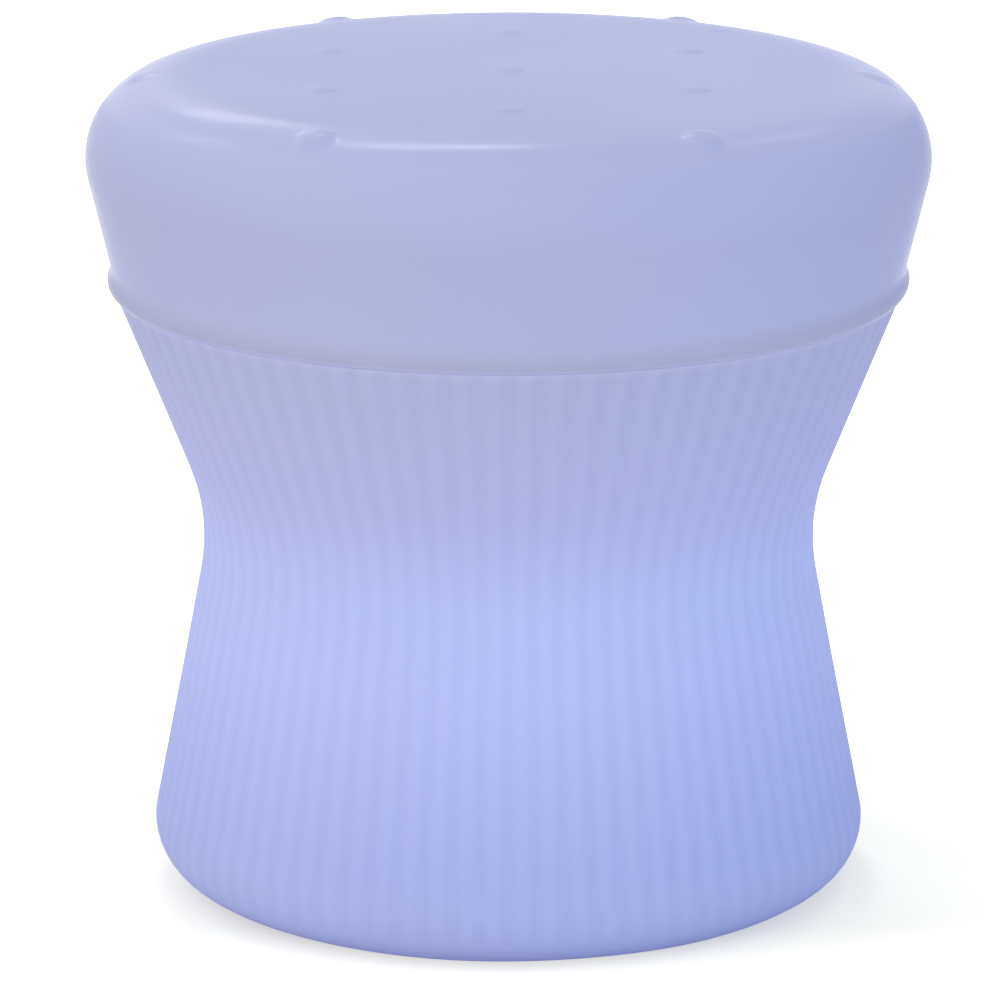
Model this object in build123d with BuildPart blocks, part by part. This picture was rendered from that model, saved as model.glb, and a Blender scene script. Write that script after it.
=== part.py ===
from build123d import *
from math import asin, atan, cos, degrees, radians, sin, sqrt, tan
import os

# Light-up stool: a ribbed, waisted, milky body with a lift-off seat lid.
# A rechargeable light module is screwed into a recess in the bottom.
# Millimetres, +Z up. The origin is on the floor, on the stool's axis.

# Seat lid
SEAT_HEIGHT = 393.0
LID_RADIUS = 200.0
LID_DEPTH = 102.0
LID_WALL = 4.0
LID_EDGE_ARC = 40.0
LID_TAPER = 13.5
LIP_BEAD = 5.5
LIP_PROUD = 4.7
LID_GAP = 1.0
LID_CLEARANCE = 1.5
NUB_OVERHANG = 13.2
NUB_SPHERE = 15.0
NUB_RISE = 3.6
BEARING_DEPTH = 30.0
BEARING_WALL = 6.0
SEAL_THICKNESS = 2.0
SEAL_WIDTH = 14.0
BOSS_RADIUS = 8.0
BOSS_LENGTH = 12.0

# Brace under the seat
BRACE_INSET = 12.0
BRACE_PLATE = 4.0
BRACE_RIB = 4.0
BRACE_RIB_COUNT = 12
BRACE_HUB_RADIUS = 40.0

# Body
SHOULDER_STEP = 0.5
WAIST_RADIUS = 142.7
WAIST_HEIGHT = 180.0
WAIST_ARC = 98.0
BASE_RADIUS = 177.2
BASE_ARC = 27.0
BODY_WALL = 5.0
BODY_FLOOR = 5.0
RIM_WIDTH = 20.0
RIM_THICKNESS = 5.0
RIM_CHAMFER = 1.2
RIB_COUNT = 80
RIB_DEPTH = 1.3
RIB_FADE = 12.0
RIB_END_DEPTH = 0.05
WAIST_STEPS = 5
BASE_STEPS = 8
CORNER_ARC = 3.0

# Feet
FOOT_PROUD = 2.5
FOOT_SUNK = 1.5
FOOT_RADIUS = 15.0
FOOT_COUNT = 6
FOOT_CLEARANCE = 0.3

# Light module, a cup that hangs in the recess of the bottom
RECESS_DEPTH = 23.5
RECESS_MARGIN = 3.0
TRAY_RADIUS = 72.0
TRAY_WALL = 3.0
TRAY_RISE = 26.0
TRAY_CLEARANCE = 2.0
DECK_THICKNESS = 3.0
FLANGE_WIDTH = 17.0
FLANGE_THICKNESS = 4.0
GASKET_THICKNESS = 2.0
MODULE_SCREW_COUNT = 6
MODULE_BOSS_RADIUS = 5.5
MODULE_BOSS_HEIGHT = 7.0
PILLAR_COUNT = 4
PILLAR_RADIUS = 4.5
PILLAR_INSET = 9.0

# Bottom cover
COVER_SET = 2.5
COVER_THICKNESS = 3.0
COVER_SEAL = 1.0
COVER_HEAD_DEPTH = 2.0

# Lens
LENS_WALL = 2.5
LENS_FLANGE = 3.0
LENS_HEIGHT = 27.0
LENS_INSET = 14.0
LENS_EDGE = 0.5
LENS_SEAL_WIDTH = 2.0
LENS_SEAL_HEIGHT = 1.2
LENS_SEAL_INSET = 3.5

# LED board
BOARD_MARGIN = 3.5
BOARD_THICKNESS = 1.6
BOARD_STANDOFF = 3.0
STANDOFF_RADIUS = 3.5
STANDOFF_CIRCLE = 44.0
STANDOFF_COUNT = 3
LED_COUNT = 12
LED_CIRCLE = 33.0
LED_SIZE = 5.0
LED_HEIGHT = 1.6
DRIVER_COUNT = 3
DRIVER_CIRCLE = 15.0
DRIVER_SIZE = 6.0
DRIVER_HEIGHT = 2.2
COIL_RADIUS = 4.0

# Battery
CELL_RADIUS = 9.2
CELL_LENGTH = 65.0
CELL_SPACE = 0.8
CELL_HEADROOM = 1.8
TAB_THICKNESS = 0.3
TAB_WIDTH = 24.0
TAB_HEIGHT = 8.0
CLAMP_WIDTH = 16.0
CLAMP_THICKNESS = 2.5
CLAMP_POST_RADIUS = 4.0
CLAMP_POST_GAP = 3.2
CLAMP_EDGE = 1.0

# Power button and its switch
BUTTON_X = -30.0
BUTTON_RADIUS = 7.3
BUTTON_CLEARANCE = 0.4
BUTTON_PROUD = 1.0
BUTTON_FLANGE = 1.7
BUTTON_FLANGE_THICKNESS = 1.2
BUTTON_STEM_RADIUS = 2.0
BUTTON_STEM = 2.1
BUTTON_TRAVEL = 1.2
BUTTON_DISH = 0.6
SWITCH_SIZE = 6.0
SWITCH_HEIGHT = 3.6
PLUNGER_RADIUS = 1.75
PLUNGER_HEIGHT = 0.8
PLUNGER_GAP = 0.1
BUTTON_BOARD = 24.0
BUTTON_POST_RADIUS = 2.6
BUTTON_POST_GAP = 0.9
BUTTON_BOARD_EDGE = 0.9

# Charging socket and its hinged cover
SOCKET_X = 30.0
SOCKET_LENGTH = 12.0
SOCKET_WIDTH = 11.0
SOCKET_HEIGHT = 12.0
SOCKET_BORE = 3.3
SOCKET_BORE_DEPTH = 9.0
SOCKET_PIN = 1.0
SOCKET_PIN_SET = 3.0
PORT_HOLE = 4.0
FLAP_RADIUS = 7.0
FLAP_THICKNESS = 1.8
FLAP_NECK_WIDTH = 9.2
HINGE_REACH = 13.0
HINGE_PIN_RADIUS = 0.8
HINGE_RUNNING_FIT = 0.05
HINGE_PIN_FIT = 0.02
KNUCKLE_RADIUS = 1.6
KNUCKLE_SPACE = 0.4
LUG_WIDTH = 1.8
LUG_SIDE_GAP = 0.3
PLUG_RADIUS = 2.6
PLUG_LENGTH = 3.2
PLUG_CHAMFER = 0.5

# Charge light
INDICATOR_Y = -30.0
INDICATOR_RADIUS = 2.5
INDICATOR_FLANGE = 1.0
INDICATOR_FLANGE_THICKNESS = 1.5
INDICATOR_CLEARANCE = 0.1

# Wires inside the module
WIRE_RADIUS = 1.4
WIRE_HOLE = 2.2
BATTERY_WIRE_OUT = 9.2
BUTTON_WIRE_OUT = 6.0
BUTTON_WIRE_RISE = 4.4
SOCKET_WIRE_OUT = 10.2
SOCKET_WIRE_RISE = 5.0
WIRE_BEND = 4.0

# Screws: shank radius, head radius, head height and drive socket radius
MODULE_SCREW = (1.9, 4.0, 2.8, 1.6)
SMALL_SCREW = (1.35, 3.0, 2.0, 1.2)
TINY_SCREW = (0.85, 1.8, 1.4, 0.75)
MODULE_SCREW_LENGTH = 13.0
BRACE_SCREW_LENGTH = 11.0
COVER_SCREW_LENGTH = 13.0
LENS_SCREW_LENGTH = 11.0
BOARD_SCREW_LENGTH = 3.6
CLAMP_SCREW_LENGTH = 9.0
BUTTON_SCREW_LENGTH = 5.0
DRIVE_SHARE = 0.6
SCREW_PASS = 0.4
PILOT_CLEARANCE = 0.1
PILOT_EXTRA = 2.0

# Heights worked out from the sizes above
base_z = FOOT_PROUD
floor_z = base_z + BODY_FLOOR
roof_z = base_z + RECESS_DEPTH
plinth_z = roof_z + BODY_FLOOR
mouth_z = SEAT_HEIGHT - LID_DEPTH
shoulder_z = mouth_z - LID_GAP
seat_under_z = SEAT_HEIGHT - LID_WALL
bearing_z = seat_under_z - BEARING_DEPTH
rim_z = bearing_z - SEAL_THICKNESS
boss_z = seat_under_z - BOSS_LENGTH
deck_z = roof_z + TRAY_RISE
deck_under_z = deck_z - DECK_THICKNESS
flange_z = roof_z - GASKET_THICKNESS
cover_z = base_z + COVER_SET
cover_top_z = cover_z + COVER_THICKNESS
tray_foot_z = cover_top_z + COVER_SEAL
board_z = deck_z + BOARD_STANDOFF
board_top_z = board_z + BOARD_THICKNESS
cell_z = deck_under_z - CELL_HEADROOM - CELL_RADIUS
clamp_top_z = cell_z - CELL_RADIUS
button_flange_top_z = cover_top_z + BUTTON_FLANGE_THICKNESS
button_top_z = button_flange_top_z + BUTTON_STEM
plunger_z = button_top_z + BUTTON_TRAVEL + PLUNGER_GAP
switch_z = plunger_z + PLUNGER_HEIGHT
button_board_z = switch_z + SWITCH_HEIGHT
button_board_top_z = button_board_z + BOARD_THICKNESS
socket_top_z = cover_top_z + SOCKET_HEIGHT
hinge_z = cover_z - FLAP_THICKNESS / 2

# Radii worked out from the sizes above
taper = radians(LID_TAPER)
lid_flat = LID_RADIUS - LID_EDGE_ARC
lid_arc_z = SEAT_HEIGHT - LID_EDGE_ARC
nub_circle = lid_flat + NUB_OVERHANG
nub_lean = asin(NUB_OVERHANG / LID_EDGE_ARC)
nub_sunk = NUB_SPHERE - NUB_RISE
skirt_radius = lid_flat + LID_EDGE_ARC * cos(taper)
skirt_z = lid_arc_z - LID_EDGE_ARC * sin(taper)
mouth_radius = skirt_radius - (skirt_z - mouth_z) * tan(taper)
mouth_bore = mouth_radius - LID_WALL / cos(taper)
brace_radius = lid_flat - BRACE_INSET
collar_radius = mouth_bore - LID_CLEARANCE
collar_bore = collar_radius - BODY_WALL
rim_bore = collar_radius - RIM_WIDTH
seal_radius = collar_radius - RIM_WIDTH / 2
shoulder_radius = mouth_radius - SHOULDER_STEP
upper_slope = (shoulder_radius - WAIST_RADIUS) / (shoulder_z - WAIST_HEIGHT)
lower_slope = (BASE_RADIUS - WAIST_RADIUS) / (WAIST_HEIGHT - base_z)
upper_angle = atan(upper_slope)
lower_angle = atan(lower_slope)
base_arc_z = base_z + BASE_ARC
base_arc_radius = (
    WAIST_RADIUS + (WAIST_HEIGHT - base_arc_z) * lower_slope - BASE_ARC / cos(lower_angle)
)
flange_radius = TRAY_RADIUS + FLANGE_WIDTH
recess_radius = flange_radius + RECESS_MARGIN
plinth_radius = recess_radius + BODY_WALL
tray_bore = TRAY_RADIUS - TRAY_WALL
module_screw_circle = TRAY_RADIUS + TRAY_CLEARANCE + FLANGE_WIDTH / 2
pillar_circle = TRAY_RADIUS - PILLAR_INSET
dome_radius = TRAY_RADIUS - LENS_INSET
board_radius = dome_radius - LENS_WALL - BOARD_MARGIN
foot_circle = (plinth_radius + base_arc_radius) / 2
clamp_post_y = 2 * CELL_RADIUS + CELL_SPACE / 2 + CLAMP_POST_RADIUS + CLAMP_POST_GAP
button_post_y = BUTTON_RADIUS + BUTTON_FLANGE + BUTTON_POST_GAP + BUTTON_POST_RADIUS
tab_x = CELL_LENGTH / 2 + TAB_THICKNESS
battery_wire_x = -tab_x - BATTERY_WIRE_OUT
button_wire_x = battery_wire_x - BUTTON_WIRE_OUT
hinge_x = SOCKET_X + HINGE_REACH
lug_y = FLAP_NECK_WIDTH / 2 + LUG_SIDE_GAP


def ring(count, radius, start=0.0):
    """Places evenly spaced on a circle round the stool's axis."""
    angles = [radians(start + 360 * step / count) for step in range(count)]
    return [(radius * cos(angle), radius * sin(angle)) for angle in angles]


os.makedirs("parts", exist_ok=True)

# Places that several pieces share
inner_nubs = [(0.0, 0.0)] + ring(6, nub_circle / sqrt(3), 30)
outer_nubs = ring(6, nub_circle - nub_sunk * sin(nub_lean))
module_screw_places = ring(MODULE_SCREW_COUNT, module_screw_circle)
pillar_places = ring(PILLAR_COUNT, pillar_circle, 45)
standoff_places = ring(STANDOFF_COUNT, STANDOFF_CIRCLE, 90)
foot_places = ring(FOOT_COUNT, foot_circle, 30)
clamp_posts = [(0.0, -clamp_post_y), (0.0, clamp_post_y)]
button_posts = [(BUTTON_X, -button_post_y), (BUTTON_X, button_post_y)]


def save(part, node):
    """Name a finished piece and write it out."""
    part.label = node
    export_step(part, f"parts/{node}.step")


def screws(places, seat_z, size, length, up=True):
    """Pan-head screws whose heads bear on the height seat_z, with hexagon drive sockets."""
    shank_radius, head_radius, head_height, drive_radius = size
    direction = 1 if up else -1
    with BuildPart() as group:
        with BuildSketch(Plane.XY.offset(seat_z)):
            with Locations(*places):
                Circle(shank_radius)
        extrude(amount=direction * length)
        with BuildSketch(Plane.XY.offset(seat_z)):
            with Locations(*places):
                Circle(head_radius)
        extrude(amount=-direction * head_height)
        with BuildSketch(Plane.XY.offset(seat_z - direction * head_height)):
            with Locations(*places):
                RegularPolygon(drive_radius, 6)
        extrude(amount=direction * head_height * DRIVE_SHARE, mode=Mode.SUBTRACT)
    return group.part


def wire(points, radii):
    """A round wire along straight runs joined by arcs."""
    with BuildPart() as tube:
        with BuildLine():
            path = FilletPolyline(*points, radius=radii)
        with BuildSketch(Plane(origin=path @ 0, z_dir=path % 0)):
            Circle(WIRE_RADIUS)
        sweep(path=path)
    return tube.part


def ribbed_outline(radius, depth):
    """Closed outline of shallow reeds, with a groove on the front and back centre lines."""
    half_pitch = 180 / RIB_COUNT
    groove = Vector(radius - depth, 0)
    crest = Vector(radius, 0)
    reeds = []
    for rib in range(RIB_COUNT):
        start = -90 + 2 * half_pitch * rib
        reed = ThreePointArc(
            groove.rotate(Axis.Z, start),
            crest.rotate(Axis.Z, start + half_pitch),
            groove.rotate(Axis.Z, start + 2 * half_pitch),
            mode=Mode.PRIVATE,
        )
        reeds.append(reed)
    add(reeds)


def rib_stations():
    """Height, crest radius and groove depth of the sections of the rounded, ribbed wall."""
    stations = []
    for step in range(BASE_STEPS + 1):
        turn = radians(-90) + (radians(90) + lower_angle) * step / BASE_STEPS
        height = base_arc_z + BASE_ARC * sin(turn)
        stations.append((height, base_arc_radius + BASE_ARC * cos(turn), RIB_END_DEPTH))
    full_z = base_arc_z + BASE_ARC * sin(lower_angle) + RIB_FADE
    stations.append((full_z, WAIST_RADIUS + (WAIST_HEIGHT - full_z) * lower_slope, RIB_DEPTH))
    tangent = WAIST_ARC * tan((upper_angle + lower_angle) / 2)
    arc_radius = WAIST_RADIUS + tangent * sin(lower_angle) + WAIST_ARC * cos(lower_angle)
    arc_z = WAIST_HEIGHT - tangent * cos(lower_angle) + WAIST_ARC * sin(lower_angle)
    for step in range(WAIST_STEPS + 1):
        turn = -lower_angle + (upper_angle + lower_angle) * step / WAIST_STEPS
        height = arc_z + WAIST_ARC * sin(turn)
        stations.append((height, arc_radius - WAIST_ARC * cos(turn), RIB_DEPTH))
    stations.append((shoulder_z, shoulder_radius, RIB_DEPTH))
    return stations


def cavity_outline():
    """Half outline of the hollow inside the body, from the plinth up through the rim."""
    waist = WAIST_RADIUS - BODY_WALL
    base = waist + (WAIST_HEIGHT - floor_z) * lower_slope
    neck_z = WAIST_HEIGHT + (collar_bore - waist) / upper_slope
    FilletPolyline(
        (0, plinth_z),
        (plinth_radius, plinth_z),
        (plinth_radius, floor_z),
        (base, floor_z),
        (waist, WAIST_HEIGHT),
        (collar_bore, neck_z),
        (collar_bore, rim_z - RIM_THICKNESS),
        (rim_bore, rim_z - RIM_THICKNESS),
        (rim_bore, SEAT_HEIGHT),
        (0, SEAT_HEIGHT),
        radius=[
            CORNER_ARC,
            CORNER_ARC,
            BASE_ARC - BODY_WALL,
            WAIST_ARC + BODY_WALL,
            CORNER_ARC,
            CORNER_ARC,
            0,
            0,
        ],
    )
    Line((0, SEAT_HEIGHT), (0, plinth_z))


# Body: ribbed wall, rounded base, collar for the lid, hollow inside
with BuildPart() as body_shell:
    for height, crest, depth in rib_stations():
        with BuildSketch(Plane.XY.offset(height)):
            with BuildLine():
                ribbed_outline(crest, depth)
            make_face()
    loft(ruled=True)
    with BuildSketch(Plane.XY.offset(shoulder_z)):
        Circle(collar_radius)
    extrude(amount=rim_z - shoulder_z)
    with BuildSketch(Plane.XZ):
        with BuildLine():
            cavity_outline()
        make_face()
    revolve(axis=Axis.Z, mode=Mode.SUBTRACT)
    with BuildSketch(Plane.XY.offset(base_z)):
        Circle(recess_radius)
    extrude(amount=RECESS_DEPTH, mode=Mode.SUBTRACT)
    with BuildSketch(Plane.XY.offset(roof_z)):
        Circle(TRAY_RADIUS + TRAY_CLEARANCE)
    extrude(amount=BODY_FLOOR, mode=Mode.SUBTRACT)
    with BuildSketch(Plane.XY.offset(plinth_z)):
        with Locations(*module_screw_places):
            Circle(MODULE_BOSS_RADIUS)
    extrude(amount=MODULE_BOSS_HEIGHT)
    with BuildSketch(Plane.XY.offset(roof_z)):
        with Locations(*module_screw_places):
            Circle(MODULE_SCREW[0] + PILOT_CLEARANCE)
    pilot = MODULE_SCREW_LENGTH - FLANGE_THICKNESS - GASKET_THICKNESS + PILOT_EXTRA
    extrude(amount=pilot, mode=Mode.SUBTRACT)
    with BuildSketch(Plane.XY.offset(base_z)):
        with Locations(*foot_places):
            Circle(FOOT_RADIUS + FOOT_CLEARANCE)
    extrude(amount=FOOT_SUNK, mode=Mode.SUBTRACT)
    rim_edges = body_shell.edges().filter_by(GeomType.CIRCLE).group_by(Axis.Z)[-1]
    chamfer(rim_edges, RIM_CHAMFER)
save(body_shell.part, "body_shell")

# Rubber foot pads
for number, place in enumerate(foot_places, start=1):
    with BuildPart() as foot:
        with BuildSketch():
            with Locations(place):
                Circle(FOOT_RADIUS)
        extrude(amount=FOOT_PROUD + FOOT_SUNK)
        chamfer(foot.edges().filter_by(GeomType.CIRCLE).group_by(Axis.Z)[0], FOOT_SUNK / 2)
    save(foot.part, f"foot_{number}")


def lid_outline(inset):
    """Half outline of the lid's outer face, or of its inner face at the wall's inset."""
    arc = LID_EDGE_ARC - inset
    edge = CenterArc((lid_flat, lid_arc_z), arc, 90, -90 - LID_TAPER)
    mouth = mouth_radius - inset / cos(taper)
    Polyline(edge @ 0, (0, lid_arc_z + arc), (0, mouth_z), (mouth, mouth_z), edge @ 1)


# Seat lid: rounded edge, tapered skirt, rolled lip and low round nubs
with BuildPart() as seat_lid:
    with BuildSketch(Plane.XZ):
        with BuildLine():
            lid_outline(0)
        make_face()
        with Locations((mouth_radius + LIP_PROUD - LIP_BEAD, mouth_z + LIP_BEAD)):
            Circle(LIP_BEAD)
    revolve(axis=Axis.Z)
    with Locations(*[(x, y, SEAT_HEIGHT - nub_sunk) for x, y in inner_nubs]):
        Sphere(NUB_SPHERE)
    outer_nub_z = lid_arc_z + (LID_EDGE_ARC - nub_sunk) * cos(nub_lean)
    with Locations(*[(x, y, outer_nub_z) for x, y in outer_nubs]):
        Sphere(NUB_SPHERE)
    with BuildSketch(Plane.XZ):
        with BuildLine():
            lid_outline(LID_WALL)
        make_face()
    revolve(axis=Axis.Z, mode=Mode.SUBTRACT)
    with BuildSketch(Plane.XY.offset(bearing_z)):
        Circle(seal_radius + BEARING_WALL / 2)
        Circle(seal_radius - BEARING_WALL / 2, mode=Mode.SUBTRACT)
    extrude(amount=BEARING_DEPTH)
    with BuildSketch(Plane.XY.offset(boss_z)):
        with Locations(*inner_nubs):
            Circle(BOSS_RADIUS)
    extrude(amount=BOSS_LENGTH)
    with BuildSketch(Plane.XY.offset(boss_z)):
        with Locations(*inner_nubs):
            Circle(SMALL_SCREW[0] + PILOT_CLEARANCE)
    extrude(amount=BRACE_SCREW_LENGTH - BRACE_PLATE + PILOT_EXTRA, mode=Mode.SUBTRACT)
save(seat_lid.part, "seat_lid")

# Foam seal under the seat
with BuildPart() as seat_seal:
    with BuildSketch(Plane.XY.offset(rim_z)):
        Circle(seal_radius + SEAL_WIDTH / 2)
        Circle(seal_radius - SEAL_WIDTH / 2, mode=Mode.SUBTRACT)
    extrude(amount=SEAL_THICKNESS)
save(seat_seal.part, "seat_seal")

# Brace: a plate with ribs that bear on the underside of the seat
with BuildPart() as seat_brace:
    with BuildSketch(Plane.XY.offset(boss_z - BRACE_PLATE)):
        Circle(brace_radius)
        with Locations(*inner_nubs):
            Circle(SMALL_SCREW[0] + SCREW_PASS, mode=Mode.SUBTRACT)
    extrude(amount=BRACE_PLATE)
    with BuildSketch(Plane.XY.offset(boss_z)):
        Circle(brace_radius)
        Circle(brace_radius - BRACE_RIB, mode=Mode.SUBTRACT)
    extrude(amount=BOSS_LENGTH)
    with BuildSketch(Plane.XY.offset(boss_z)):
        Circle(BRACE_HUB_RADIUS)
        Circle(BRACE_HUB_RADIUS - BRACE_RIB, mode=Mode.SUBTRACT)
    extrude(amount=BOSS_LENGTH)
    rib_length = brace_radius - BRACE_HUB_RADIUS
    with BuildSketch(Plane.XY.offset(boss_z)):
        with PolarLocations(BRACE_HUB_RADIUS - BRACE_RIB / 2, BRACE_RIB_COUNT, 180 / BRACE_RIB_COUNT):
            Rectangle(rib_length, BRACE_RIB, align=(Align.MIN, Align.CENTER))
    extrude(amount=BOSS_LENGTH)
save(seat_brace.part, "seat_brace")

brace_screws = screws(inner_nubs, boss_z - BRACE_PLATE, SMALL_SCREW, BRACE_SCREW_LENGTH)
save(brace_screws, "brace_screws")

# Gasket between the light module and the roof of the recess
with BuildPart() as lamp_gasket:
    with BuildSketch(Plane.XY.offset(flange_z)):
        Circle(flange_radius)
        Circle(TRAY_RADIUS + TRAY_CLEARANCE, mode=Mode.SUBTRACT)
        with Locations(*module_screw_places):
            Circle(MODULE_SCREW[0] + SCREW_PASS, mode=Mode.SUBTRACT)
    extrude(amount=GASKET_THICKNESS)
save(lamp_gasket.part, "lamp_gasket")

# Cup of the light module, open below, with pillars for the screws at both ends
with BuildPart() as lamp_tray:
    with BuildSketch(Plane.XY.offset(tray_foot_z)):
        Circle(TRAY_RADIUS)
        Circle(tray_bore, mode=Mode.SUBTRACT)
    extrude(amount=deck_z - tray_foot_z)
    with BuildSketch(Plane.XY.offset(deck_under_z)):
        Circle(TRAY_RADIUS)
    extrude(amount=DECK_THICKNESS)
    with BuildSketch(Plane.XY.offset(flange_z - FLANGE_THICKNESS)):
        Circle(flange_radius)
        Circle(tray_bore, mode=Mode.SUBTRACT)
        with Locations(*module_screw_places):
            Circle(MODULE_SCREW[0] + SCREW_PASS, mode=Mode.SUBTRACT)
    extrude(amount=FLANGE_THICKNESS)
    with BuildSketch(Plane.XY.offset(cover_top_z)):
        with Locations(*pillar_places):
            Circle(PILLAR_RADIUS)
    extrude(amount=deck_under_z - cover_top_z)
    with BuildSketch(Plane.XY.offset(clamp_top_z)):
        with Locations(*clamp_posts):
            Circle(CLAMP_POST_RADIUS)
    extrude(amount=deck_under_z - clamp_top_z)
    with BuildSketch(Plane.XY.offset(deck_z)):
        with Locations(*standoff_places):
            Circle(STANDOFF_RADIUS)
    extrude(amount=BOARD_STANDOFF)
    # Pilot holes of the cover, the lens, the battery clamp and the board
    with BuildSketch(Plane.XY.offset(cover_top_z)):
        with Locations(*pillar_places):
            Circle(SMALL_SCREW[0] + PILOT_CLEARANCE)
    extrude(amount=COVER_SCREW_LENGTH + PILOT_EXTRA, mode=Mode.SUBTRACT)
    with BuildSketch(Plane.XY.offset(deck_z)):
        with Locations(*pillar_places):
            Circle(SMALL_SCREW[0] + PILOT_CLEARANCE)
    extrude(amount=LENS_FLANGE - LENS_SCREW_LENGTH - PILOT_EXTRA, mode=Mode.SUBTRACT)
    with BuildSketch(Plane.XY.offset(clamp_top_z)):
        with Locations(*clamp_posts):
            Circle(SMALL_SCREW[0] + PILOT_CLEARANCE)
    extrude(amount=CLAMP_SCREW_LENGTH - CLAMP_THICKNESS + PILOT_EXTRA, mode=Mode.SUBTRACT)
    with BuildSketch(Plane.XY.offset(board_z)):
        with Locations(*standoff_places):
            Circle(TINY_SCREW[0] + PILOT_CLEARANCE)
    extrude(amount=-BOARD_STANDOFF, mode=Mode.SUBTRACT)
    # Groove of the lens seal, and holes for the wires
    lens_seal_radius = TRAY_RADIUS - LENS_SEAL_INSET
    with BuildSketch(Plane.XY.offset(deck_z)):
        Circle(lens_seal_radius + LENS_SEAL_WIDTH / 2)
        Circle(lens_seal_radius - LENS_SEAL_WIDTH / 2, mode=Mode.SUBTRACT)
    extrude(amount=-LENS_SEAL_HEIGHT, mode=Mode.SUBTRACT)
    with BuildSketch(Plane.XY.offset(deck_z)):
        with Locations((battery_wire_x, 0), (button_wire_x, 0)):
            Circle(WIRE_HOLE)
    extrude(amount=-DECK_THICKNESS, mode=Mode.SUBTRACT)
save(lamp_tray.part, "lamp_tray")

tray_screws = screws(
    module_screw_places, flange_z - FLANGE_THICKNESS, MODULE_SCREW, MODULE_SCREW_LENGTH
)
save(tray_screws, "tray_screws")

# Seal in the deck's groove
with BuildPart() as lens_seal:
    with BuildSketch(Plane.XY.offset(deck_z)):
        Circle(lens_seal_radius + LENS_SEAL_WIDTH / 2)
        Circle(lens_seal_radius - LENS_SEAL_WIDTH / 2, mode=Mode.SUBTRACT)
    extrude(amount=-LENS_SEAL_HEIGHT)
save(lens_seal.part, "lens_seal")


def dome_outline(radius, height):
    """Half outline of a shallow dome that stands on the lens flange."""
    sphere = (radius**2 + height**2) / (2 * height)
    base = deck_z + LENS_FLANGE
    lean = atan((sphere - height) / radius)
    cap = CenterArc((0, base + height - sphere), sphere, degrees(lean), 90 - degrees(lean))
    Polyline(cap @ 1, (0, deck_z), (radius, deck_z), cap @ 0)


# Frosted dome over the LEDs
with BuildPart() as lamp_lens:
    with BuildSketch(Plane.XZ):
        with BuildLine():
            dome_outline(dome_radius, LENS_HEIGHT)
        make_face()
    revolve(axis=Axis.Z)
    with BuildSketch(Plane.XY.offset(deck_z)):
        Circle(TRAY_RADIUS - LENS_EDGE)
        with Locations(*pillar_places):
            Circle(SMALL_SCREW[0] + SCREW_PASS, mode=Mode.SUBTRACT)
    extrude(amount=LENS_FLANGE)
    with BuildSketch(Plane.XZ):
        with BuildLine():
            dome_outline(dome_radius - LENS_WALL, LENS_HEIGHT - LENS_WALL)
        make_face()
    revolve(axis=Axis.Z, mode=Mode.SUBTRACT)
save(lamp_lens.part, "lamp_lens")

lens_screws = screws(
    pillar_places, deck_z + LENS_FLANGE, SMALL_SCREW, LENS_SCREW_LENGTH, up=False
)
save(lens_screws, "lens_screws")

# LED board on its standoffs
with BuildPart() as led_board:
    with BuildSketch(Plane.XY.offset(board_z)):
        Circle(board_radius)
        with Locations(*standoff_places):
            Circle(TINY_SCREW[0] + SCREW_PASS, mode=Mode.SUBTRACT)
    extrude(amount=BOARD_THICKNESS)
save(led_board.part, "led_board")

with BuildPart() as led_chips:
    with BuildSketch(Plane.XY.offset(board_top_z)):
        with PolarLocations(LED_CIRCLE, LED_COUNT):
            Rectangle(LED_SIZE, LED_SIZE)
        Rectangle(LED_SIZE, LED_SIZE)
    extrude(amount=LED_HEIGHT)
save(led_chips.part, "led_chips")

# Driver chips and a coil between the LEDs
with BuildPart() as driver_parts:
    with BuildSketch(Plane.XY.offset(board_top_z)):
        with PolarLocations(DRIVER_CIRCLE, DRIVER_COUNT, 180 / DRIVER_COUNT):
            Rectangle(DRIVER_SIZE, DRIVER_SIZE)
        with Locations((DRIVER_CIRCLE, 0)):
            Circle(COIL_RADIUS)
    extrude(amount=DRIVER_HEIGHT)
save(driver_parts.part, "driver_parts")

board_screws = screws(
    standoff_places, board_top_z, TINY_SCREW, BOARD_SCREW_LENGTH, up=False
)
save(board_screws, "board_screws")

# Two lying battery cells
for number, side in enumerate((-1, 1), start=1):
    cell_y = side * (CELL_RADIUS + CELL_SPACE / 2)
    with BuildPart() as cell:
        with BuildSketch(Plane.YZ.offset(-CELL_LENGTH / 2)):
            with Locations((cell_y, cell_z)):
                Circle(CELL_RADIUS)
        extrude(amount=CELL_LENGTH)
        chamfer(cell.edges().filter_by(GeomType.CIRCLE), CELL_SPACE)
    save(cell.part, f"battery_cell_{number}")

# Nickel tabs across the ends of both cells
with BuildPart() as battery_tabs:
    for start in (-tab_x, CELL_LENGTH / 2):
        with BuildSketch(Plane.YZ.offset(start)):
            with Locations((0, cell_z)):
                Rectangle(TAB_WIDTH, TAB_HEIGHT)
        extrude(amount=TAB_THICKNESS)
save(battery_tabs.part, "battery_tabs")

# Strap that holds the cells up against their posts
with BuildPart() as battery_clamp:
    with BuildSketch(Plane.XY.offset(clamp_top_z)):
        Rectangle(CLAMP_WIDTH, 2 * (clamp_post_y + CLAMP_POST_RADIUS + CLAMP_EDGE))
        with Locations(*clamp_posts):
            Circle(SMALL_SCREW[0] + SCREW_PASS, mode=Mode.SUBTRACT)
    extrude(amount=-CLAMP_THICKNESS)
    fillet(battery_clamp.edges().filter_by(Axis.Z).filter_by(GeomType.LINE), CORNER_ARC)
save(battery_clamp.part, "battery_clamp")

clamp_screws = screws(
    clamp_posts, clamp_top_z - CLAMP_THICKNESS, SMALL_SCREW, CLAMP_SCREW_LENGTH
)
save(clamp_screws, "clamp_screws")

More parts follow.
